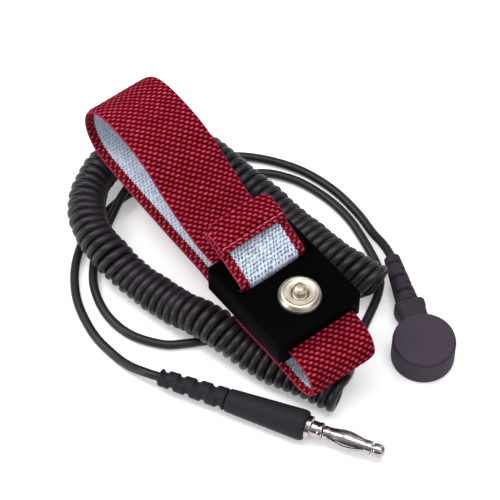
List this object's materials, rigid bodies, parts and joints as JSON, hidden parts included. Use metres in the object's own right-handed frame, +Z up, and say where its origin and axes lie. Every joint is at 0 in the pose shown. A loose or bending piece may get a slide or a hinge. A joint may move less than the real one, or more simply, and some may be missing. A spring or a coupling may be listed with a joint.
{
  "type": "esd wrist strap",
  "caption": "Elastic wrist band with a snap buckle, lying on its curly ground cord with a snap cap and a banana plug.",
  "frame": {"origin": "centre of the flat top of the buckle's snap stud", "axes": "+Z up out of the buckle's snap stud, +X along the band from the wrist loop towards the tail, +Y across the band"},
  "size_m": [0.1203, 0.081, 0.0371],
  "materials": {
    "webbing": "coarse woven elastic, red outside, light blue-grey conductive inside",
    "housing": "black, satin",
    "rubber": "soft black, slightly purple-grey",
    "cord": "soft black jacket with a satin sheen",
    "nickel": "turned nickel plate",
    "steel": "brushed stainless",
    "spring": "bright phosphor bronze",
    "copper": "tinned copper",
    "ceramic": "matte resistor coating"
  },
  "bodies": {
    "strap_and_cord": {"band": "webbing", "housing_cover": "housing", "housing_base": "housing", "skin_plate": "steel", "snap_stud": "nickel", "stud_rivet": "nickel", "retainer_plate": "steel", "cam_pin": "steel", "cap_shell": "rubber", "snap_socket": "nickel", "socket_spring": "spring", "socket_carrier": "housing", "resistor_body": "ceramic", "resistor_lead_socket": "copper", "resistor_lead_cord": "copper", "cap_ferrule": "nickel", "cap_boot": "rubber", "cap_wire": "copper", "cord_cap_side": "cord", "cord_coil": "cord", "cord_plug_side": "cord", "plug_boot": "rubber", "plug_handle": "rubber", "plug_ferrule": "nickel", "plug_wire": "copper", "plug_body": "nickel", "plug_tip": "nickel"},
    "free_end": {"free_end": "webbing"},
    "clamp_cam": {"clamp_cam": "steel"},
    "spring_cage": {"spring_cage": "nickel"}
  },
  "joints": [
    {"name": "free_end_lift", "type": "hinge", "parent": "strap_and_cord", "child": "free_end", "pos_m": [-0.0106, 0, -0.0045], "axis": [0, 1, 0], "range_deg": [-8, 65], "stiffness_Nm_per_rad": 0.002},
    {"name": "cam_release", "type": "hinge", "parent": "strap_and_cord", "child": "clamp_cam", "pos_m": [-0.0152, 0, -0.009], "axis": [0, -1, 0], "range_deg": [0, 14], "stiffness_Nm_per_rad": 0.001},
    {"name": "cage_spin", "type": "hinge", "parent": "strap_and_cord", "child": "spring_cage", "pos_m": [0.02923, -0.00812, -0.02575], "axis": [0.8616, 0.5075, 0], "continuous": true}
  ]
}
